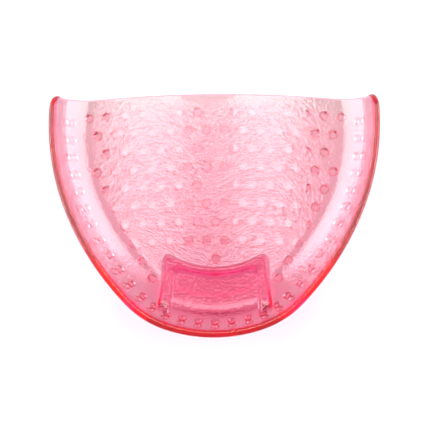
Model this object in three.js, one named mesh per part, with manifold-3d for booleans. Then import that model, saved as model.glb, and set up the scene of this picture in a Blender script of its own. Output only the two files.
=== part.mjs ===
// A finger-held facial cleansing pad: a soft U-shaped scoop with a steep wall round the U, a flat
// open edge, a dished grip block at the tip, and rows of short round nubs on its outside.
// Millimetres, +Z up. The scoop lies on its nub tips with its hollow side up. +Y points at the
// flat edge and -Y at the tip. The origin is on the table, under the middle of the pad.

import * as THREE from "three";
import { mergeVertices } from "three/addons/utils/BufferGeometryUtils.js";
import Module from "manifold-3d";

// Driving dimensions.
const LENGTH = 52.3; // flat edge to tip
const RIM_THICKNESS = 1.4; // of the wall, and of the rim all round
const FLOOR_THICKNESS = 1.3; // of the floor's middle
const FLOOR_TAPER = 0.02; // how much thinner the floor gets for each millimetre towards the flat edge
const NUB_LENGTH = 1.4; // floor nubs, from the outer face
const FLOOR_RADIUS = 100; // the floor's gentle curve across X
const EDGE_RADIUS = 160; // bow of the flat edge and of the nub rows, seen from above
const FLARE_START = 23; // the flat edge flares from this far to each side of the middle
const FLARE_END = 31; // to here, by FLARE
const FLARE = 0.7;
const RIM_HEIGHT = 13.4; // top of the wall's outer face
const DRAFT = THREE.MathUtils.degToRad(15); // the wall leans outwards this much
const HEEL_HEIGHT = 10; // where the 45 degree heel between the floor and the wall would meet the outline
const HEEL_BLEND = 2.5; // height over which the heel blends into the wall
const FILLET = 2.5; // and the floor into the heel
const CORNER_RADIUS = 3; // rounding of the wall's two free ends
const GAP = 0.3; // between neighbouring solids

// The rim's outline, from the tip to a corner: tangent arcs, each a radius and the angle it turns.
const OUTLINE_ARCS = [
  { radius: 30, turn: 19.1 },
  { radius: 19.3, turn: 27.2 },
  { radius: 59, turn: 21 },
  { radius: 49.8, turn: 50 },
];

// Floor nubs: one row each PITCH_Y, one nub each PITCH_X, every second row shifted by half a pitch.
const PITCH_X = 3.7;
const PITCH_Y = 3.8;
const FIRST_ROW = 3.7; // from the flat edge
const NUB_ROWS = [
  { half: 7, left_out: [-3, 0, 3] },
  { half: 6.5 },
  { half: 6, left_out: [0] },
  { half: 6.5 },
  { half: 6, left_out: [0] },
  { half: 5.5 },
  { half: 5 },
  { half: 4.5 },
  { half: 4, step: 4 },
  { half: 3.5, step: 7 },
];
const NUB_BASE_RADIUS = 0.85;
const NUB_TIP_RADIUS = 0.68;
const RUNNER_RADIUS = 0.26; // the low three-sided bar that joins the nubs of one row

// Wall nubs: two rows round the U, each this far in from the rim.
const WALL_ROWS = [
  { name: "wall_nubs_upper", inset: 2.6 },
  { name: "wall_nubs_lower", inset: 4.1 },
];
const WALL_NUB_PITCH = 3.88; // along the rim
const WALL_NUBS_EACH_SIDE = 16; // and one at the tip
const WALL_NUB_LENGTH = 1.1;
const WALL_NUB_BASE_RADIUS = 0.78;
const WALL_NUB_TIP_RADIUS = 0.58;
const NUB_SIDES = 6;

// The rounded bead that ends the wall.
const BEAD_HEIGHT = 1.6;

// Grip block: a plate on the floor at the tip, with a low ridge on three sides of it.
const PLATE_TOP = 6.2;
const RIDGE_TOP = 7.7;
const RIDGE_WIDTH = 1.8;
const GRIP_BACK = -10.4; // where its back edge crosses the middle
const GRIP_BACK_RADIUS = 18;
const GRIP_HALF_BACK = 10.2; // half its width at the back
const GRIP_HALF_FRONT = 11.3; // and where it meets the tip's wall

const TIP_Y = -LENGTH / 2;
const INNER_INSET = 8.6; // from the rim to past the end of the fillet
const MESH_WALL_STEPS = 8;
const MESH_FLOOR_STEPS = 12;
const MESH_CORNER_STEPS = 3;
const MESH_SIDE_STEPS = 17;

const wasm = await Module();
wasm.setup();

// --- The scoop's surface ---------------------------------------------------------------------

// Each outline arc with its centre, its start and end angle (0 at the tip) and its start length.
const arcs = [];
{
  let angle = 0;
  let length = 0;
  let x = 0;
  let y = TIP_Y;
  for (const { radius, turn } of OUTLINE_ARCS) {
    const end = angle + THREE.MathUtils.degToRad(turn);
    const centre = new THREE.Vector2(x - radius * Math.sin(angle), y + radius * Math.cos(angle));
    arcs.push({ radius, centre, start: angle, end, length });
    length += radius * (end - angle);
    x = centre.x + radius * Math.sin(end);
    y = centre.y - radius * Math.cos(end);
    angle = end;
  }
}

// The outline's point and outward normal at a length along it from the tip.
function outlineAt(length) {
  const arc = arcs.findLast((a) => length >= a.length) ?? arcs[0];
  const angle = arc.start + (length - arc.length) / arc.radius;
  const normal = new THREE.Vector2(Math.sin(angle), -Math.cos(angle));
  return { point: arc.centre.clone().addScaledVector(normal, arc.radius), normal };
}

// How far a point on the pad is inside the outline.
function insetOf(x, y) {
  let least = Infinity;
  for (const { radius, centre, start, end } of arcs) {
    const dx = Math.abs(x) - centre.x;
    const dy = y - centre.y;
    const angle = Math.atan2(dx, -dy);
    if (angle >= start && angle <= end) least = Math.min(least, radius - Math.hypot(dx, dy));
  }
  return least;
}

const rowY = (x) => LENGTH / 2 - (x * x) / (2 * EDGE_RADIUS);

// The flat edge is bowed like the nub rows, and its two ends flare outwards.
function edgeY(x) {
  const flared = THREE.MathUtils.clamp((Math.abs(x) - FLARE_START) / (FLARE_END - FLARE_START), 0, 1.2);
  return rowY(x) + FLARE * flared * flared;
}

// Thickness of the moulding over a point of its outer face.
function thicknessAt(x, y) {
  const inwards = THREE.MathUtils.smoothstep(insetOf(x, y), 2, 8);
  return THREE.MathUtils.lerp(RIM_THICKNESS, FLOOR_THICKNESS - FLOOR_TAPER * y, inwards);
}

function blendedMax(a, b, blend) {
  const near = Math.max(blend - Math.abs(a - b), 0);
  return Math.max(a, b) + (near * near) / (4 * blend);
}

// Height of the outer face: the curved floor, a broad rounded heel and the steep wall.
function outerHeight(x, y) {
  const floor = NUB_LENGTH + (x * x) / (2 * FLOOR_RADIUS);
  const inset = insetOf(x, y);
  const wall = blendedMax(HEEL_HEIGHT - inset, RIM_HEIGHT - inset / Math.tan(DRAFT), HEEL_BLEND);
  return blendedMax(floor, wall, FILLET);
}

// The outer face's point over (x, y), moved by offset along the normal, which points into the hollow.
function surfacePoint(x, y, offset) {
  const normal = surfaceNormal(x, y);
  return new THREE.Vector3(x, y, outerHeight(x, y)).addScaledVector(normal, offset);
}

function surfaceNormal(x, y) {
  const h = 0.05;
  const slopeX = (outerHeight(x + h, y) - outerHeight(x - h, y)) / (2 * h);
  const slopeY = (outerHeight(x, y + h) - outerHeight(x, y - h)) / (2 * h);
  return new THREE.Vector3(-slopeX, -slopeY, 1).normalize();
}

// The length along the outline at which it reaches the flat edge.
function findCornerLength() {
  let low = 0;
  let high = arcs.at(-1).length + arcs.at(-1).radius * (arcs.at(-1).end - arcs.at(-1).start);
  for (let i = 0; i < 40; i++) {
    const middle = (low + high) / 2;
    const { point } = outlineAt(middle);
    if (point.y < edgeY(point.x)) low = middle;
    else high = middle;
  }
  return low;
}
const CORNER_LENGTH = findCornerLength();
const CORNER_Y = outlineAt(CORNER_LENGTH).point.y;

// How far the rim has come down the wall near its free end, at a distance along Y from that end.
function rimDrop(fromEnd) {
  const along = Math.max(CORNER_RADIUS - fromEnd, 0);
  return CORNER_RADIUS - Math.sqrt(CORNER_RADIUS ** 2 - along ** 2);
}

// Lengths along the outline of the mesh's stations, from the corner to the tip.
function stationLengths() {
  const lengths = [];
  for (let i = 0; i < MESH_CORNER_STEPS; i++) {
    const angle = (Math.PI / 2) * (1 - i / MESH_CORNER_STEPS);
    lengths.push(CORNER_LENGTH - CORNER_RADIUS * (1 - Math.sin(angle)));
  }
  const rest = CORNER_LENGTH - CORNER_RADIUS;
  for (let i = 0; i <= MESH_SIDE_STEPS; i++) lengths.push(rest * (1 - i / MESH_SIDE_STEPS));
  return lengths;
}

// Plan points of one station's section: down one wall, across the floor and up the other wall.
function sectionPlan(length) {
  const { point, normal } = outlineAt(length);
  const turned = THREE.MathUtils.smoothstep(CORNER_LENGTH - length, 0, 12);
  const alongEdge = new THREE.Vector2(
    INNER_INSET,
    edgeY(point.x) - edgeY(point.x - INNER_INSET),
  ).normalize();
  const outward = alongEdge.lerp(normal, turned).normalize();
  const foot = point.clone().addScaledVector(outward, -INNER_INSET);
  const drop = rimDrop(CORNER_LENGTH - length);
  const start = (drop * Math.tan(DRAFT)) / (INNER_INSET * outward.dot(normal));
  const half = [];
  for (let i = 0; i <= MESH_WALL_STEPS; i++) {
    half.push(point.clone().lerp(foot, start + ((1 - start) * i) / MESH_WALL_STEPS));
  }
  const across = [];
  for (let i = 1; i < MESH_FLOOR_STEPS; i++) {
    const x = foot.x * (1 - (2 * i) / MESH_FLOOR_STEPS);
    across.push(new THREE.Vector2(x, foot.y + edgeY(x) - edgeY(foot.x)));
  }
  const mirrored = half.map((p) => new THREE.Vector2(-p.x, p.y)).reverse();
  return [...half, ...across, ...mirrored];
}

// One closed body between two faces over the whole pad. lower and upper give a face's point over a
// plan point. Where rounded is set, the rim between them is a half round instead of flat.
function sheetGeometry(lower, upper, rounded = false) {
  const rows = stationLengths().map(sectionPlan);
  const columns = rows[0].length;
  const points = [];
  const found = new Map();
  const triangles = [];
  const vertex = (p) => {
    const key = p.toArray().map((c) => Math.round(c * 1e4)).join();
    if (!found.has(key)) {
      found.set(key, points.length / 3);
      points.push(...p.toArray());
    }
    return found.get(key);
  };
  const triangle = (a, b, c) => {
    if (a !== b && b !== c && c !== a) triangles.push(a, b, c);
  };
  const quad = (a, b, c, d) => {
    triangle(a, b, c);
    triangle(a, c, d);
  };
  const low = rows.map((row) => row.map((p) => vertex(lower(p.x, p.y))));
  const high = rows.map((row) => row.map((p) => vertex(upper(p.x, p.y))));
  for (let j = 0; j + 1 < rows.length; j++) {
    for (let i = 0; i + 1 < columns; i++) {
      quad(high[j][i], high[j][i + 1], high[j + 1][i + 1], high[j + 1][i]);
      quad(low[j][i], low[j + 1][i], low[j + 1][i + 1], low[j][i + 1]);
    }
  }
  for (let i = 0; i + 1 < columns; i++) quad(low[0][i], low[0][i + 1], high[0][i + 1], high[0][i]);

  // The rim runs from one corner round the tip to the other.
  const rim = [
    ...rows.map((row, j) => ({ j, i: 0, next: 1 })),
    ...rows.map((row, j) => ({ j, i: columns - 1, next: columns - 2 })).reverse().slice(1),
  ];
  const profiles = rim.map(({ j, i, next }) => {
    const a = lower(rows[j][i].x, rows[j][i].y);
    const b = upper(rows[j][i].x, rows[j][i].y);
    if (!rounded) return [vertex(a), vertex(b)];
    const inside = lower(rows[j][next].x, rows[j][next].y);
    const across = b.clone().sub(a).multiplyScalar(0.5);
    const out = a.clone().sub(inside);
    out.addScaledVector(across, -out.dot(across) / across.lengthSq()).setLength(across.length());
    const profile = [];
    for (const angle of [0, 60, 120, 180].map(THREE.MathUtils.degToRad)) {
      const p = a.clone().add(across).addScaledVector(across, -Math.cos(angle));
      profile.push(vertex(p.addScaledVector(out, Math.sin(angle))));
    }
    return profile;
  });
  for (let k = 0; k + 1 < profiles.length; k++) {
    for (let m = 0; m + 1 < profiles[k].length; m++) {
      quad(profiles[k][m], profiles[k][m + 1], profiles[k + 1][m + 1], profiles[k + 1][m]);
    }
  }
  for (const [profile, flipped] of [[profiles[0], false], [profiles.at(-1), true]]) {
    for (let m = 1; m + 1 < profile.length; m++) {
      if (flipped) triangle(profile[0], profile[m], profile[m + 1]);
      else triangle(profile[0], profile[m + 1], profile[m]);
    }
  }
  const geometry = new THREE.BufferGeometry();
  geometry.setAttribute("position", new THREE.Float32BufferAttribute(points, 3));
  geometry.setIndex(triangles);
  return geometry;
}

// --- Solids ------------------------------------------------------------------------------------

function solidOf(geometry) {
  const bare = geometry.clone();
  bare.deleteAttribute("normal");
  bare.deleteAttribute("uv");
  const merged = mergeVertices(bare, 1e-4);
  const mesh = new wasm.Mesh({
    numProp: 3,
    vertProperties: merged.attributes.position.array,
    triVerts: new Uint32Array(merged.index.array),
  });
  return new wasm.Manifold(mesh);
}

function meshOf(name, solid, material) {
  const { vertProperties, triVerts } = solid.getMesh();
  const geometry = new THREE.BufferGeometry();
  geometry.setAttribute("position", new THREE.BufferAttribute(vertProperties, 3));
  geometry.setIndex(new THREE.BufferAttribute(triVerts, 1));
  const mesh = new THREE.Mesh(geometry, material);
  mesh.name = name;
  return mesh;
}

function slab(low, high) {
  const size = 4 * LENGTH;
  const geometry = new THREE.BoxGeometry(size, size, high - low);
  geometry.translate(0, 0, (low + high) / 2);
  return solidOf(geometry);
}

function clearSilicone(color, roughness) {
  return new THREE.MeshStandardMaterial({ color, roughness, metalness: 0, transparent: true, opacity: 0.75 });
}

// The nubs of one row, joined by a low bar that follows the outer face along the row's route. The
// nubs point straight down, or stand square to the outer face where square is set.
function nubRow(name, route, places, { base, tip, length, barPitch, square }, material) {
  const barAngles = [90, 210, 330].map(THREE.MathUtils.degToRad);
  const section = new THREE.Shape(
    barAngles.map((a) => new THREE.Vector2(Math.cos(a), Math.sin(a)).multiplyScalar(RUNNER_RADIUS)),
  );
  const path = new THREE.CatmullRomCurve3(route.map(([x, y]) => surfacePoint(x, y, -2 * GAP)));
  const options = { steps: Math.round(path.getLength() / barPitch), extrudePath: path };
  let row = solidOf(new THREE.ExtrudeGeometry(section, options));
  for (const [x, y] of places) {
    const nub = new THREE.CylinderGeometry(tip, base, length - GAP, NUB_SIDES);
    const outward = square ? surfaceNormal(x, y).negate() : new THREE.Vector3(0, 0, -1);
    nub.applyQuaternion(new THREE.Quaternion().setFromUnitVectors(new THREE.Vector3(0, 1, 0), outward));
    const middle = surfacePoint(x, y, 0).addScaledVector(outward, (length + GAP) / 2);
    nub.translate(middle.x, middle.y, middle.z);
    row = row.add(solidOf(nub));
  }
  return meshOf(name, row, material);
}

function floorNubRows(material) {
  const size = {
    base: NUB_BASE_RADIUS,
    tip: NUB_TIP_RADIUS,
    length: NUB_LENGTH,
    barPitch: 2 * PITCH_X,
    square: false,
  };
  return NUB_ROWS.map(({ half, step = 1, left_out = [] }, k) => {
    const route = [];
    const places = [];
    for (let m = -half; m <= half; m++) {
      const x = FLOOR_RADIUS * Math.sin((m * PITCH_X) / FLOOR_RADIUS);
      route.push([x, rowY(x) - FIRST_ROW - PITCH_Y * k]);
      if ((m + half) % step === 0 && !left_out.includes(m)) places.push(route.at(-1));
    }
    return nubRow("floor_nubs_row_" + String(k + 1).padStart(2, "0"), route, places, size, material);
  });
}

function wallNubRows(material) {
  const size = {
    base: WALL_NUB_BASE_RADIUS,
    tip: WALL_NUB_TIP_RADIUS,
    length: WALL_NUB_LENGTH,
    barPitch: WALL_NUB_PITCH,
    square: true,
  };
  return WALL_ROWS.map(({ name, inset }) => {
    const places = [];
    for (let m = -WALL_NUBS_EACH_SIDE; m <= WALL_NUBS_EACH_SIDE; m++) {
      const { point, normal } = outlineAt(Math.abs(m) * WALL_NUB_PITCH);
      const place = point.addScaledVector(normal, -inset);
      places.push([Math.sign(m) * place.x, place.y]);
    }
    return nubRow(name, places, places, size, material);
  });
}

// The grip's plan, drawn inwards by inset on its back and sides. The tip's wall ends it in front.
function gripOutline(inset) {
  const radius = GRIP_BACK_RADIUS + inset;
  const centreY = GRIP_BACK + GRIP_BACK_RADIUS;
  const halfBack = GRIP_HALF_BACK - inset;
  const angle = Math.asin(halfBack / radius);
  const shape = new THREE.Shape();
  shape.absarc(0, centreY, radius, -Math.PI / 2 - angle, -Math.PI / 2 + angle, false);
  shape.lineTo(GRIP_HALF_FRONT - inset, TIP_Y);
  shape.lineTo(inset - GRIP_HALF_FRONT, TIP_Y);
  shape.closePath();
  return shape;
}

function gripSolid(inset, low, high) {
  const geometry = new THREE.ExtrudeGeometry(gripOutline(inset), {
    depth: high - low,
    bevelEnabled: false,
    curveSegments: 8,
  });
  geometry.translate(0, 0, low);
  return solidOf(geometry);
}

// --- The pad -----------------------------------------------------------------------------------

const skin = clearSilicone(0xf7a8bb, 0.28);
const grip = clearSilicone(0xf2669a, 0.32);
const nubs = clearSilicone(0xf9bccb, 0.3);

const outer = (x, y) => surfacePoint(x, y, 0);
const inner = (x, y) => surfacePoint(x, y, thicknessAt(x, y));
const wholeSkin = solidOf(sheetGeometry(outer, inner, true));

// The room inside the scoop, a gap clear of its inner face.
const clearOfFloor = (x, y) => surfacePoint(x, y, thicknessAt(x, y) + GAP);
const room = solidOf(sheetGeometry(clearOfFloor, (x, y) => clearOfFloor(x, y).setZ(2 * RIM_HEIGHT)));

const beadLow = RIM_HEIGHT + RIM_THICKNESS - BEAD_HEIGHT;
const ridgeRing = gripSolid(0, PLATE_TOP + GAP, RIDGE_TOP).subtract(
  gripSolid(RIDGE_WIDTH, PLATE_TOP, 2 * RIDGE_TOP),
);

const pad = new THREE.Group();
pad.add(meshOf("pad_shell", wholeSkin.subtract(slab(beadLow - GAP, 3 * RIM_HEIGHT)), skin));
pad.add(meshOf("rim_bead", wholeSkin.intersect(slab(beadLow, 3 * RIM_HEIGHT)), skin));
pad.add(meshOf("grip_plate", gripSolid(0, 0, PLATE_TOP).intersect(room), grip));
pad.add(meshOf("grip_ridge", ridgeRing.intersect(room), grip));
pad.add(...floorNubRows(nubs));
pad.add(...wallNubRows(nubs));

export default pad;
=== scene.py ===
"""A clear pink silicone facial cleansing pad, lying on its nubs with its hollow side up.

Lengths are in millimetres until a mesh is made, and in metres for the stage, lamps and camera.
+Y points at the pad's flat edge, -Y at its tip.
"""

import math

import bpy
import numpy as np
from mathutils import Matrix, Vector
from mathutils.geometry import delaunay_2d_cdt


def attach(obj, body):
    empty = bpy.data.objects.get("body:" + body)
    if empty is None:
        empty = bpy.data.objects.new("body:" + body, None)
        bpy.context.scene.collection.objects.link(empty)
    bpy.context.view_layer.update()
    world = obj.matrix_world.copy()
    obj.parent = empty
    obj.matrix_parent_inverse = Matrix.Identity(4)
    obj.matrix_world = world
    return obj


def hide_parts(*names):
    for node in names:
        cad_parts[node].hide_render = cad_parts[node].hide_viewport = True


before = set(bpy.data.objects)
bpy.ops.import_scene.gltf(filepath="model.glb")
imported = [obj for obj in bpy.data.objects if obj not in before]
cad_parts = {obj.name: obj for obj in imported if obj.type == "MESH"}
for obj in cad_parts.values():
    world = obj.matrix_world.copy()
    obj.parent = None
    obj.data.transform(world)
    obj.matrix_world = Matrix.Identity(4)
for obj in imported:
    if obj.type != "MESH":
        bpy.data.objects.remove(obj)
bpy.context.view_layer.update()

MM = 0.001

# The pad's shape, as in the CAD.
LENGTH = 52.3
RIM_THICKNESS = 1.4
FLOOR_THICKNESS = 1.3
FLOOR_TAPER = 0.02
# The rim's thickness turns into the floor's over FLOOR_EASING, from FLOOR_START inside the outline.
FLOOR_START = 2.0
FLOOR_EASING = 6.0
NUB_LENGTH = 1.4
FLOOR_RADIUS = 100.0
EDGE_RADIUS = 160.0
FLARE_START = 23.0
FLARE_END = 31.0
FLARE_MOST = 1.2
FLARE = 0.7
RIM_HEIGHT = 13.4
DRAFT = math.radians(15)
HEEL_HEIGHT = 10.0
HEEL_BLEND = 2.5
FILLET = 2.5
CORNER_RADIUS = 3.0
# Half of the outline from the tip, as arcs: (radius, degrees).
OUTLINE_ARCS = ((30.0, 19.1), (19.3, 27.2), (59.0, 21.0), (49.8, 50.0))
TIP_Y = -LENGTH / 2
# The border's cross-section: 1 is a half circle across the skin's thickness.
BORDER_ROUND = 0.92

# Nubs. Each floor row is (half its length in pitches, step in pitches, pitches left out).
PITCH_X = 3.7
PITCH_Y = 3.8
FIRST_ROW = 3.7
NUB_ROWS = (
    (7.0, 1, (-3, 0, 3)),
    (6.5, 1, ()),
    (6.0, 1, (0,)),
    (6.5, 1, ()),
    (6.0, 1, (0,)),
    (5.5, 1, ()),
    (5.0, 1, ()),
    (4.5, 1, ()),
    (4.0, 4, ()),
    (3.5, 7, ()),
)
WALL_ROWS = (("wall_nubs_upper", 2.6), ("wall_nubs_lower", 4.1))
WALL_NUB_PITCH = 3.88
WALL_NUBS_EACH_SIDE = 16
NUB_SIDES = 24
# Each profile goes from the skin to the middle of the tip: (radius, distance from the skin).
FLOOR_NUB = (
    (0.97, 0.0), (0.9, 0.08), (0.86, 0.25), (0.8, 0.8), (0.76, 1.14),
    (0.7, 1.29), (0.6, 1.37), (0.45, 1.4), (0.22, 1.4), (0.0, 1.4),
)
WALL_NUB = (
    (0.9, 0.0), (0.82, 0.07), (0.77, 0.22), (0.7, 0.68), (0.66, 0.88),
    (0.58, 1.01), (0.46, 1.08), (0.3, 1.1), (0.15, 1.1), (0.0, 1.1),
)
# The gap between a nub and the skin.
NUB_SEAM = 0.02
# A nub's rings lean into the skin's slope within this distance of it.
NUB_FOOT = 0.3
# The nubs' sides take a dark red tint, painted shade, over this much of a nub's length from the
# skin.
NUB_PAINTED_SHADE_PART = 0.85

# Grip block.
PLATE_TOP = 6.2
RIDGE_TOP = 7.7
RIDGE_WIDTH = 1.8
GRIP_BACK = -10.4
GRIP_BACK_RADIUS = 18.0
GRIP_HALF_BACK = 10.2
GRIP_HALF_FRONT = 11.3
GRIP_CORNER_BLEND = 2.2
GRIP_SIDE_SLOPE = 5.4
GRIP_SIDE_OUTSET = 0.45
RIDGE_SLOPE = 4.0
RIDGE_INSET = 0.2
RIDGE_BLEND = 0.5
PLATE_BLEND = 0.4
CREST_BLEND = 0.9
# The blend between the grip and the skin, and how much wider it gets towards the tip.
FOOT_BLEND = 0.9
FRONT_BLEND = 1.2
FRONT_START = -14.0
FRONT_LENGTH = 4.0

# Moulded grain. The first two are bump strengths, the height is in metres, and the inner face is
# smooth within NUB_BACK of a nub's centre.
INNER_GRAIN = 0.65
OUTER_GRAIN = 0.3
GRAIN_SCALE = 1900
GRAIN_DETAIL = 2
GRAIN_HEIGHT = 0.0001
NUB_BACK = 0.8
NUB_BACK_EASING = 0.2

# The meshes' points, in plan: the border, rings along the wall, a hexagonal grid over the rest, a
# finer one where the grip's depth is near GRIP_MIDDLE, and rings behind each nub.
BORDER_SPACING = 0.5
BORDER_ARC_STEPS = 10
CORNER_STEPS = 12
SKIN_SPACING = 0.6
ROW_SPACING = 0.866
LOOP_MARGIN = 0.3
MIDDLE_MARGIN = 0.25
HALF_WIDTH = 33
RING_STEP = 0.22
FINE_RINGS_TO = 5
COARSER = 1.6
RINGS_TO = 8.2
GRID_FROM = 8.3
RING_LENGTH = 68
RING_POINTS = 110
GRIP_SPACING = 0.28
GRIP_GRID_X = (-13.5, 13.6)
GRIP_GRID_BACK = 6
GRIP_LOOP_MARGIN = 0.12
GRIP_MIDDLE = 0.5
GRIP_MARGIN = 3.0
NUB_BACK_RADII = (0.3, 0.5, 0.6, 0.71, 0.82, 0.92, 1.08)
NUB_BACK_SIDES = 18
NUB_BACK_CLEARANCE = 1.25
MERGE_DISTANCE = 1e-6

# Numerical searches: the step of a slope, the rounds towards the inner face over a point, and the
# range and rounds for the length at which the rim meets the flat edge.
SLOPE_STEP = 0.05
INNER_ROUNDS = 15
END_RANGE = (50.0, 80.0)
END_ROUNDS = 40

# Silicone: absorption per millimetre of red, green and blue; face tints and roughness as pairs, the
# second for marked faces: painted light on the skin's border, painted shade on the nubs' sides; and
# what a lamp's light keeps at each face. All of it, and the lamps, are tuned.
IOR = 1.41
SKIN_TINT = (0.003, 0.29, 0.13)
# The second tint is painted light on the skin's rounded border.
SKIN_TINTS_AND_PAINTED_RIM_LIGHT = ((0.58, 0.49, 0.445), (0.9, 0.64, 0.66))
SKIN_SHADE = (0.99, 0.975, 0.978)
SKIN_ROUGHNESS = (0.02, 0.2)
NUB_TINT = (0.003, 0.03, 0.02)
# The second tint is painted shade on the nubs' sides.
NUB_TINTS_AND_PAINTED_SHADE = ((1, 1, 1), (0.93, 0.1, 0.2))
NUB_SHADE = (0.99, 0.97, 0.98)
NUB_ROUGHNESS = (0.02, 0.1)

# Stage and lamps, in metres. Each lamp is (place, size, radiance); the side ones are mirrored.
TABLE_HALF = 1.5
TABLE_DROP = 0.0002
TABLE_GREY = 0.32
TABLE_ROUGHNESS = 0.7
TABLE_GLOW = 0.22
WORLD_STRENGTH = 0.8
TOP_LAMP = ((0, 0.33, 0.62), (0.4, 0.36), 5.1)
STRIP_LAMP = ((0.134, 0.31, 0.6), (0.16, 0.36), 8.5)
PANEL_LAMP = ((0.45, 0.16, 0.2), (0.38, 0.6), 11)

# Camera, with its aim in metres.
LENS = 380
SENSOR_WIDTH = 36
LEAN = math.radians(12)
ASIDE = math.radians(1.5)
FRAME_PIXELS = 430
MM_PER_PIXEL = 0.2
AIM = (0.0, -0.0001, 0.0074)
BOUNCES = 24
GLOSSY_BOUNCES = 16


# --- Surface formulas -------------------------------------------------------------------------


def make_arcs():
    """Each outline arc as (radius, centre, start angle, end angle, start length), from the tip."""
    arcs, angle, length = [], 0.0, 0.0
    point = np.array([0.0, TIP_Y])
    for radius, turn in OUTLINE_ARCS:
        end = angle + math.radians(turn)
        centre = point - radius * np.array([math.sin(angle), -math.cos(angle)])
        arcs.append((radius, centre, angle, end, length))
        length += radius * (end - angle)
        point = centre + radius * np.array([math.sin(end), -math.cos(end)])
        angle = end
    return arcs


ARCS = make_arcs()


def outline_at(length):
    """The outline's point and outward normal at a length along it from the tip."""
    radius, centre, start, _, before = [a for a in ARCS if length >= a[4]][-1]
    angle = start + (length - before) / radius
    normal = np.array([math.sin(angle), -math.cos(angle)])
    return centre + radius * normal, normal


def inset_of(x, y):
    """How far points on the pad are inside the outline."""
    least = np.full(np.shape(x), 99.0)
    for radius, centre, start, end, _ in ARCS:
        dx, dy = np.abs(x) - centre[0], y - centre[1]
        angle = np.arctan2(dx, -dy)
        in_arc = (angle >= start) & (angle <= end)
        least = np.where(in_arc, np.minimum(least, radius - np.hypot(dx, dy)), least)
    return least


def row_y(x):
    """The nub rows' bow."""
    return LENGTH / 2 - np.square(x) / (2 * EDGE_RADIUS)


def edge_y(x):
    """The flat edge: bowed like the rows, with its corners flared a little."""
    flare = np.clip((np.abs(x) - FLARE_START) / (FLARE_END - FLARE_START), 0, FLARE_MOST)
    return row_y(x) + FLARE * flare**2


def thickness(x, y):
    """The skin's thickness: even round the rim, tapering over the floor towards the flat edge."""
    inwards = np.clip((inset_of(x, y) - FLOOR_START) / FLOOR_EASING, 0, 1)
    inwards = inwards**2 * (3 - 2 * inwards)
    return RIM_THICKNESS + inwards * (FLOOR_THICKNESS - FLOOR_TAPER * y - RIM_THICKNESS)


def smooth_max(a, b, blend):
    """The greater of two heights, rounded where they are within blend of each other."""
    near = np.maximum(blend - np.abs(a - b), 0)
    return np.maximum(a, b) + near**2 / (4 * blend)


def smooth_min(a, b, blend):
    return -smooth_max(-a, -b, blend)


def outer_z(x, y):
    """Height of the outer face: a broad heel and a steep wall round the floor."""
    floor = NUB_LENGTH + np.square(x) / (2 * FLOOR_RADIUS)
    inset = inset_of(x, y)
    wall = smooth_max(HEEL_HEIGHT - inset, RIM_HEIGHT - inset / math.tan(DRAFT), HEEL_BLEND)
    return smooth_max(floor, wall, FILLET)


def skin_normal(x, y):
    """The outer face's unit normal, pointing into the hollow."""
    h = SLOPE_STEP
    slope_x = (outer_z(x + h, y) - outer_z(x - h, y)) / (2 * h)
    slope_y = (outer_z(x, y + h) - outer_z(x, y - h)) / (2 * h)
    n = np.stack([-slope_x, -slope_y, np.ones_like(slope_x)], -1)
    return n / np.linalg.norm(n, axis=-1, keepdims=True)


def skin_point(x, y, offset=0.0):
    """The outer face's points over (x, y), moved by offset along the normal."""
    x, y = np.asarray(x, float), np.asarray(y, float)
    return np.stack([x, y, outer_z(x, y)], -1) + offset * skin_normal(x, y)


def inner_point(x, y):
    """The inner face's points over the outer face's points at (x, y)."""
    return skin_point(x, y, thickness(x, y)[..., None])


def inner_z(x, y):
    """Height of the inner face at (x, y)."""
    under_x, under_y = np.array(x, float), np.array(y, float)
    for _ in range(INNER_ROUNDS):
        point = inner_point(under_x, under_y)
        under_x, under_y = under_x + x - point[..., 0], under_y + y - point[..., 1]
    return inner_point(under_x, under_y)[..., 2]


def grip_depth(x, y):
    """How far points are inside the grip's back and sides, with its back corners rounded."""
    centre_y = GRIP_BACK + GRIP_BACK_RADIUS
    from_back = np.hypot(x, y - centre_y) - GRIP_BACK_RADIUS
    forward = (GRIP_BACK - y) / (GRIP_BACK - TIP_Y)
    half = GRIP_HALF_BACK + (GRIP_HALF_FRONT - GRIP_HALF_BACK) * forward
    return smooth_min(from_back, half - np.abs(x), GRIP_CORNER_BLEND)


def grip_z(x, y, floor):
    """Height of the grip block over the skin's inner face: a ridge round a lower plate."""
    depth = grip_depth(x, y)
    side = floor + GRIP_SIDE_SLOPE * (depth + GRIP_SIDE_OUTSET)
    inner_side = RIDGE_TOP - RIDGE_SLOPE * (depth - RIDGE_WIDTH + RIDGE_INSET)
    ridge = smooth_min(inner_side, RIDGE_TOP, RIDGE_BLEND)
    crest = smooth_max(PLATE_TOP, ridge, PLATE_BLEND)
    return smooth_min(side, crest, CREST_BLEND)


def nub_back_centres():
    """The inner face's plan points behind the floor nubs."""
    places = np.array([place for row in floor_nub_places() for place in row])
    return inner_point(places[:, 0], places[:, 1])[:, :2]


def hollow_z(x, y):
    """Height of the pad's whole upper face: the inner face and the grip standing on it."""
    floor = inner_z(x, y)
    front = np.clip((FRONT_START - y) / FRONT_LENGTH, 0, 1)
    return smooth_max(floor, grip_z(x, y, floor), FOOT_BLEND + FRONT_BLEND * front)


# --- Meshes ------------------------------------------------------------------------------------


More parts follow.
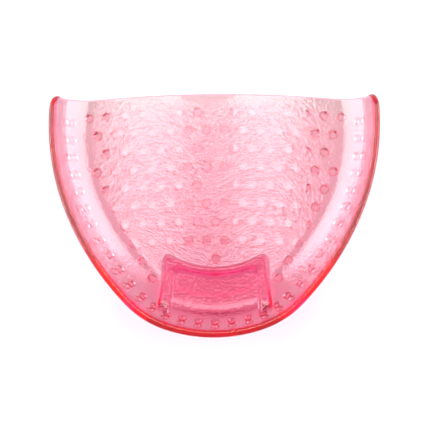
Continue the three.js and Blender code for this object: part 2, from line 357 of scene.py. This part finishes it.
class Solid:
    """Points and faces of one closed body, gathered piece by piece."""

    def __init__(self):
        self.points = []
        self.grain = []
        self.deep = []
        self.faces = []

    def add(self, points, grain=0.0, deep=0.0):
        """Points with their strength of moulded grain and how far they take the painted tint:
        painted light on the skin's border, painted shade on the nubs' sides.
        """
        start = len(self.points)
        self.points.extend(np.asarray(points, float).tolist())
        self.grain.extend(np.broadcast_to(grain, len(points)).tolist())
        self.deep.extend(np.broadcast_to(deep, len(points)).tolist())
        return list(range(start, start + len(points)))

    def strip(self, lower, upper):
        """Quads between two closed loops, facing away from what the loops go round, if both run
        anticlockwise seen from upper's side."""
        count = len(lower)
        for k in range(count):
            n = (k + 1) % count
            self.faces.append((lower[k], lower[n], upper[n], upper[k]))

    def fan(self, middle, loop):
        """Triangles from a middle point to a closed loop, facing where it runs anticlockwise."""
        self.faces += [(middle, loop[k - 1], loop[k]) for k in range(len(loop))]

    def piece(self, name, material, nodes):
        """Make the mesh object, riding on the pad's only body in place of its CAD nodes."""
        mesh = bpy.data.meshes.new(name)
        mesh.from_pydata((np.array(self.points) * MM).tolist(), [], self.faces)
        mesh.shade_smooth()
        mesh.materials.append(material)
        for attribute, values in (("grain", self.grain), ("deep", self.deep)):
            mesh.attributes.new(attribute, "FLOAT", "POINT").data.foreach_set("value", values)
        ob = bpy.data.objects.new(name, mesh)
        bpy.context.scene.collection.objects.link(ob)
        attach(ob, "root")
        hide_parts(*nodes)


def rim_drop(from_end):
    """How far the rim is rounded down near its end."""
    along = np.maximum(CORNER_RADIUS - from_end, 0)
    return CORNER_RADIUS - math.sqrt(CORNER_RADIUS**2 - along**2)


def half_border():
    """Plan points of the outer face's right border, from the tip to the flat edge's middle."""

    def rim_point(length, end):
        point, normal = outline_at(length)
        return point - normal * rim_drop(end - length) * math.tan(DRAFT)

    def edge_point(x):
        return np.array([x, edge_y(x) - thickness(x, edge_y(x)) / 2])

    low, high = END_RANGE
    for _ in range(END_ROUNDS):
        end = (low + high) / 2
        x, y = rim_point(end, end)
        low, high = (end, high) if y < edge_point(x)[1] else (low, end)
    straight = end - CORNER_RADIUS
    lengths = list(np.linspace(0, straight, round(straight / BORDER_SPACING) + 1))
    turns = np.linspace(0, math.pi / 2, CORNER_STEPS + 1)[1:]
    lengths += [straight + CORNER_RADIUS * math.sin(t) for t in turns]
    rim = [rim_point(length, end) for length in lengths]
    corner_x = rim[-1][0]
    xs = np.linspace(corner_x, 0, round(corner_x / BORDER_SPACING) + 1)[1:]
    return rim + [edge_point(x) for x in xs]


def border():
    """The outer face's border in plan, anticlockwise seen from above, starting at the tip."""
    right = half_border()
    left = [p * (-1, 1) for p in right[-2:0:-1]]
    return np.array(right + left)


def triangles_in(loop, free):
    """Triangles over the plan region inside a loop, through its points and then the free ones."""
    edges = [(k, (k + 1) % len(loop)) for k in range(len(loop))]
    coords = [Vector(p) for p in np.concatenate([loop, free])]
    _, _, faces, from_input, _, _ = delaunay_2d_cdt(coords, edges, [], 1, MERGE_DISTANCE)
    return [tuple(from_input[v][0] for v in face) for face in faces]


def fill_points(loop):
    """Free plan points inside a border loop: rings along the wall, then a hexagonal grid."""
    points = []
    inset = RING_STEP
    while inset < RINGS_TO:
        lengths = np.linspace(0, RING_LENGTH, RING_POINTS, endpoint=False)
        for length in lengths + 0.5 * SKIN_SPACING * (len(points) % 2):
            point, normal = outline_at(length)
            place = point - normal * inset
            if place[0] > MIDDLE_MARGIN * SKIN_SPACING:
                points += [place, place * (-1, 1)]
            elif length == 0:
                points.append(place * (0, 1))
        inset += RING_STEP if inset < FINE_RINGS_TO else COARSER * RING_STEP
    grid = np.array([
        (x + 0.5 * SKIN_SPACING * (k % 2), y)
        for k, y in enumerate(np.arange(TIP_Y, LENGTH / 2, SKIN_SPACING * ROW_SPACING))
        for x in np.arange(-HALF_WIDTH, HALF_WIDTH, SKIN_SPACING)
    ])
    grid = grid[inset_of(grid[:, 0], grid[:, 1]) > GRID_FROM]
    points = np.concatenate([points, grid])
    return points[inside(points, loop, LOOP_MARGIN * SKIN_SPACING)]


def inside(points, loop, margin):
    """Which points are inside an anticlockwise convex-ish loop and at least margin from it."""
    edge = np.roll(loop, -1, 0) - loop
    length = np.linalg.norm(edge, axis=1)
    kept = np.zeros(len(points), bool)
    for i, p in enumerate(points):
        to = p - loop
        along = np.clip((to * edge).sum(1) / length**2, 0, 1)
        away = np.linalg.norm(to - along[:, None] * edge, axis=1)
        k = away.argmin()
        cross = edge[k, 0] * to[k, 1] - edge[k, 1] * to[k, 0]
        kept[i] = away[k] > margin and cross > 0
    return kept


def floor_nub_places():
    """Plan points of the floor nubs, row by row from the flat edge."""
    rows = []
    for k, (half, step, left_out) in enumerate(NUB_ROWS):
        places = []
        for i in range(round(2 * half) + 1):
            m = i - half
            if i % step or m in left_out:
                continue
            x = FLOOR_RADIUS * math.sin(m * PITCH_X / FLOOR_RADIUS)
            places.append((x, row_y(x) - FIRST_ROW - PITCH_Y * k))
        rows.append(places)
    return rows


def wall_nub_places(inset):
    """Plan points of a ring of wall nubs that far inside the outline."""
    places = []
    for m in range(-WALL_NUBS_EACH_SIDE, WALL_NUBS_EACH_SIDE + 1):
        point, normal = outline_at(abs(m) * WALL_NUB_PITCH)
        place = point - normal * inset
        places.append((math.copysign(1, m) * place[0], place[1]))
    return places


def add_nub(solid, place, profile, outward):
    """A nub under the outer face: its base follows the skin, its side runs to the flat tip."""
    x, y = place
    centre = skin_point(x, y)
    across = np.cross(outward, (0, 1, 0))
    across /= np.linalg.norm(across)
    along = np.cross(outward, across)
    angles = np.arange(NUB_SIDES) * 2 * math.pi / NUB_SIDES
    around = np.outer(np.cos(angles), across) + np.outer(np.sin(angles), along)

    def on_skin(radius):
        plan = centre + radius * around
        return skin_point(plan[:, 0], plan[:, 1], -NUB_SEAM)

    middle = solid.add(skin_point([x], [y], -NUB_SEAM))[0]
    ring = solid.add(on_skin(0.5 * profile[0][0]))
    solid.fan(middle, ring[::-1])
    for radius, depth in profile[:-1]:
        flat = centre + depth * outward + radius * around
        merge = max(0.0, 1 - depth / NUB_FOOT)
        following = merge * (on_skin(radius) + depth * outward) + (1 - merge) * flat
        # Most of the side takes the dark red tint, painted shade that darkens the nub's edges seen
        # through the skin; the tip stays pale.
        deep = 1.0 if depth < NUB_PAINTED_SHADE_PART * profile[-1][1] else 0.0
        below = solid.add(following, deep=deep)
        solid.strip(ring, below)
        ring = below
    tip = solid.add([centre + profile[-1][1] * outward])[0]
    solid.fan(tip, ring)


def make_nubs(name, node, places, profile, material):
    """A row of nubs: those under the floor point straight down, those on the wall stand square."""
    solid = Solid()
    for x, y in places:
        outward = np.array((0.0, 0.0, -1.0)) if profile is FLOOR_NUB else -skin_normal(x, y)
        add_nub(solid, (x, y), profile, outward)
    solid.piece(name, material, [node])


def away_from(centres, points):
    """Each plan point's distance to the nearest centre."""
    return np.min(np.hypot(*(points[:, None] - centres[None]).transpose(2, 0, 1)), axis=1)


def inner_fill(loop):
    """Free plan points inside the inner face's loop, denser over the grip and behind the nubs."""
    points = fill_points(loop)
    coarse = np.abs(grip_depth(points[:, 0], points[:, 1]) - GRIP_MIDDLE) > GRIP_MARGIN
    points = np.concatenate([points[coarse], grip_points(loop)])
    centres = nub_back_centres()
    away = away_from(centres, points)
    return np.concatenate([points[away > NUB_BACK_CLEARANCE], nub_back_points(centres)])


def make_skin(material):
    """The skin with its rounded border, and the grip on its inner face, in one closed body."""
    solid = Solid()
    loop = border()
    free = fill_points(loop)
    plan = np.concatenate([loop, free])
    low = solid.add(skin_point(plan[:, 0], plan[:, 1]), OUTER_GRAIN)
    solid.faces += [face[::-1] for face in triangles_in(loop, free)]

    upper = inner_point(loop[:, 0], loop[:, 1])
    free = inner_fill(upper[:, :2])
    heights = hollow_z(free[:, 0], free[:, 1])
    away = away_from(nub_back_centres(), free)
    off_nubs = np.clip((away - NUB_BACK) / NUB_BACK_EASING, 0, 1)
    grain = np.concatenate([np.zeros(len(upper)), INNER_GRAIN * off_nubs])
    high = solid.add(np.concatenate([upper, np.column_stack([free, heights])]), grain)
    solid.faces += [tuple(high[v] for v in face) for face in triangles_in(upper[:, :2], free)]

    lower = skin_point(loop[:, 0], loop[:, 1])
    middle, across = (lower + upper) / 2, (upper - lower) / 2
    tangent = np.roll(middle, -1, 0) - np.roll(middle, 1, 0)
    out = np.cross(tangent, across)
    length = BORDER_ROUND * np.linalg.norm(across, axis=1) / np.linalg.norm(out, axis=1)
    out *= length[:, None]
    below = low[: len(loop)]
    # The rounded border's rings take the lighter tint, painted light that brightens the rim.
    for angle in np.linspace(0, math.pi, BORDER_ARC_STEPS + 1)[1:-1]:
        ring = solid.add(middle - math.cos(angle) * across + math.sin(angle) * out, deep=1.0)
        solid.strip(below, ring)
        below = ring
    solid.strip(below, high[: len(loop)])
    nodes = ["pad_shell", "rim_bead", "grip_plate", "grip_ridge"]
    solid.piece("pad_skin_with_grip", material, nodes)


def nub_back_points(centres):
    """Rings of plan points behind each nub."""
    rings = [np.zeros((1, 2))]
    for number, radius in enumerate(NUB_BACK_RADII):
        angles = (np.arange(NUB_BACK_SIDES) + 0.5 * (number % 2)) * math.pi / (NUB_BACK_SIDES / 2)
        rings.append(radius * np.column_stack([np.cos(angles), np.sin(angles)]))
    pattern = np.concatenate(rings)
    return (centres[:, None] + pattern[None]).reshape(-1, 2)


def grip_points(loop):
    """Denser plan points over the grip block and its foot."""
    xs = np.arange(*GRIP_GRID_X, GRIP_SPACING)
    ys = np.arange(TIP_Y, GRIP_BACK + GRIP_GRID_BACK, GRIP_SPACING * ROW_SPACING)
    grid = np.array([(x + 0.5 * GRIP_SPACING * (k % 2), y) for k, y in enumerate(ys) for x in xs])
    depth = grip_depth(grid[:, 0], grid[:, 1])
    grid = grid[np.abs(depth - GRIP_MIDDLE) <= GRIP_MARGIN]
    return grid[inside(grid, loop, GRIP_LOOP_MARGIN)]


# --- Materials ---------------------------------------------------------------------------------


def silicone(name, tint, plain_and_painted_tints, shade, roughness):
    """Clear tinted silicone with a fine moulded grain.

    A mesh attribute takes faces from the first to the second of each pair of tints and of
    roughness; the second tint is painted light on the skin's rounded border and painted shade on
    the nubs' sides. The mesh's "grain" attribute is the strength of the grain. A volume absorbs
    tint on the way through.
    """
    mat = bpy.data.materials.new(name)
    mat.use_nodes = True
    nt = mat.node_tree
    nt.nodes.clear()

    def attribute(attribute_name):
        node = nt.nodes.new("ShaderNodeAttribute")
        node.attribute_name = attribute_name
        return node.outputs["Fac"]

    deep, grain = attribute("deep"), attribute("grain")
    out = nt.nodes.new("ShaderNodeOutputMaterial")
    glass = nt.nodes.new("ShaderNodeBsdfPrincipled")
    glass.inputs["Transmission Weight"].default_value = 1
    glass.inputs["IOR"].default_value = IOR
    volume = nt.nodes.new("ShaderNodeVolumeAbsorption")
    volume.inputs["Density"].default_value = 1 / MM
    volume.inputs["Color"].default_value = (*(1 - a for a in tint), 1)
    coords = nt.nodes.new("ShaderNodeTexCoord")
    fine = nt.nodes.new("ShaderNodeTexNoise")
    fine.inputs["Scale"].default_value = GRAIN_SCALE
    fine.inputs["Detail"].default_value = GRAIN_DETAIL
    bump = nt.nodes.new("ShaderNodeBump")
    bump.inputs["Distance"].default_value = GRAIN_HEIGHT
    rough = nt.nodes.new("ShaderNodeMapRange")
    rough.inputs["To Min"].default_value, rough.inputs["To Max"].default_value = roughness
    # The second tint is painted light on the skin's rounded border and painted shade on the nubs'
    # sides.
    painted_tint_mix = nt.nodes.new("ShaderNodeMix")
    painted_tint_mix.data_type = "RGBA"
    painted_tint_mix.inputs["A"].default_value = (*plain_and_painted_tints[0], 1)
    painted_tint_mix.inputs["B"].default_value = (*plain_and_painted_tints[1], 1)
    clear = nt.nodes.new("ShaderNodeBsdfTransparent")
    clear.inputs["Color"].default_value = (*shade, 1)
    rays = nt.nodes.new("ShaderNodeLightPath")
    mix = nt.nodes.new("ShaderNodeMixShader")
    for source, target in (
        (deep, painted_tint_mix.inputs["Factor"]),
        (painted_tint_mix.outputs["Result"], glass.inputs["Base Color"]),
        (deep, rough.inputs["Value"]),
        (rough.outputs["Result"], glass.inputs["Roughness"]),
        (coords.outputs["Object"], fine.inputs["Vector"]),
        (fine.outputs["Fac"], bump.inputs["Height"]),
        (grain, bump.inputs["Strength"]),
        (bump.outputs["Normal"], glass.inputs["Normal"]),
        (rays.outputs["Is Shadow Ray"], mix.inputs["Fac"]),
        (glass.outputs["BSDF"], mix.inputs[1]),
        (clear.outputs["BSDF"], mix.inputs[2]),
        (mix.outputs["Shader"], out.inputs["Surface"]),
        (volume.outputs["Volume"], out.inputs["Volume"]),
    ):
        nt.links.new(source, target)
    return mat


# --- Scene -------------------------------------------------------------------------------------


def make_stage():
    """A plain pale table just under the nubs' tips."""
    mesh = bpy.data.meshes.new("table")
    corners = [(x * TABLE_HALF, y * TABLE_HALF, 0) for x, y in ((-1, -1), (1, -1), (1, 1), (-1, 1))]
    mesh.from_pydata(corners, [], [(0, 1, 2, 3)])
    table = bpy.data.objects.new("table", mesh)
    table.location.z = -TABLE_DROP
    bpy.context.scene.collection.objects.link(table)
    mat = bpy.data.materials.new("table_white")
    mat.use_nodes = True
    bsdf = mat.node_tree.nodes["Principled BSDF"]
    bsdf.inputs["Base Color"].default_value = (TABLE_GREY, TABLE_GREY, TABLE_GREY, 1)
    bsdf.inputs["Roughness"].default_value = TABLE_ROUGHNESS
    bsdf.inputs["Emission Color"].default_value = (1, 1, 1, 1)
    bsdf.inputs["Emission Strength"].default_value = TABLE_GLOW
    mesh.materials.append(mat)


def area_light(name, place, size, radiance, back):
    """A rectangular lamp of a given brightness that shines away from back."""
    data = bpy.data.lights.new(name, "AREA")
    data.shape = "RECTANGLE"
    data.size, data.size_y = size
    data.energy = radiance * math.pi * size[0] * size[1]
    lamp = bpy.data.objects.new(name, data)
    back = Vector(back)
    right = Vector((0, 1, 0)).cross(back)
    turn = Matrix((right, back.cross(right), back)).transposed().to_4x4()
    lamp.matrix_world = Matrix.Translation(place) @ turn
    bpy.context.scene.collection.objects.link(lamp)


def make_light():
    """A softbox and two strips overhead, whose reflections make the pale zones on the floor, and
    two side panels, whose reflections make the bright band along the heel."""
    world = bpy.data.worlds.new("studio")
    bpy.context.scene.world = world
    world.use_nodes = True
    background = world.node_tree.nodes["Background"]
    background.inputs["Color"].default_value = (1, 1, 1, 1)
    background.inputs["Strength"].default_value = WORLD_STRENGTH
    area_light("softbox_top", *TOP_LAMP, (0, 0, 1))
    for name, side in (("left", -1), ("right", 1)):
        for kind, (place, size, radiance), back in (
            ("strip", STRIP_LAMP, (0, 0, 1)),
            ("panel", PANEL_LAMP, (side, 0, 0)),
        ):
            area_light(f"{kind}_{name}", (side * place[0], *place[1:]), size, radiance, back)


def make_camera():
    """A long lens almost straight above, leaning towards the tip and a little to the right."""
    data = bpy.data.cameras.new("camera")
    data.lens = LENS
    data.sensor_width = SENSOR_WIDTH
    camera = bpy.data.objects.new("camera", data)
    bpy.context.scene.collection.objects.link(camera)
    view = Vector((math.tan(ASIDE), -math.tan(LEAN), 1)).normalized()
    frame_width = FRAME_PIXELS * MM_PER_PIXEL * MM
    distance = frame_width * data.lens / data.sensor_width
    camera.location = Vector(AIM) + view * distance
    up = Vector((0, 1, 0))
    right = up.cross(view).normalized()
    up = view.cross(right)
    camera.rotation_euler = Matrix((right, up, view)).transposed().to_euler()
    bpy.context.scene.camera = camera
    bpy.context.scene.view_settings.view_transform = "Standard"
    paths = bpy.context.scene.cycles
    paths.max_bounces = BOUNCES
    paths.transmission_bounces = BOUNCES
    paths.glossy_bounces = GLOSSY_BOUNCES


make_camera()
skin = silicone("clear_pink_silicone", SKIN_TINT, SKIN_TINTS_AND_PAINTED_RIM_LIGHT, SKIN_SHADE, SKIN_ROUGHNESS)
nub = silicone("pale_pink_silicone", NUB_TINT, NUB_TINTS_AND_PAINTED_SHADE, NUB_SHADE, NUB_ROUGHNESS)
make_skin(skin)
for number, places in enumerate(floor_nub_places(), 1):
    make_nubs(f"nub_row_{number:02d}", f"floor_nubs_row_{number:02d}", places, FLOOR_NUB, nub)
for node, inset in WALL_ROWS:
    make_nubs(f"nub_ring_{node[10:]}", node, wall_nub_places(inset), WALL_NUB, nub)
make_stage()
make_light()
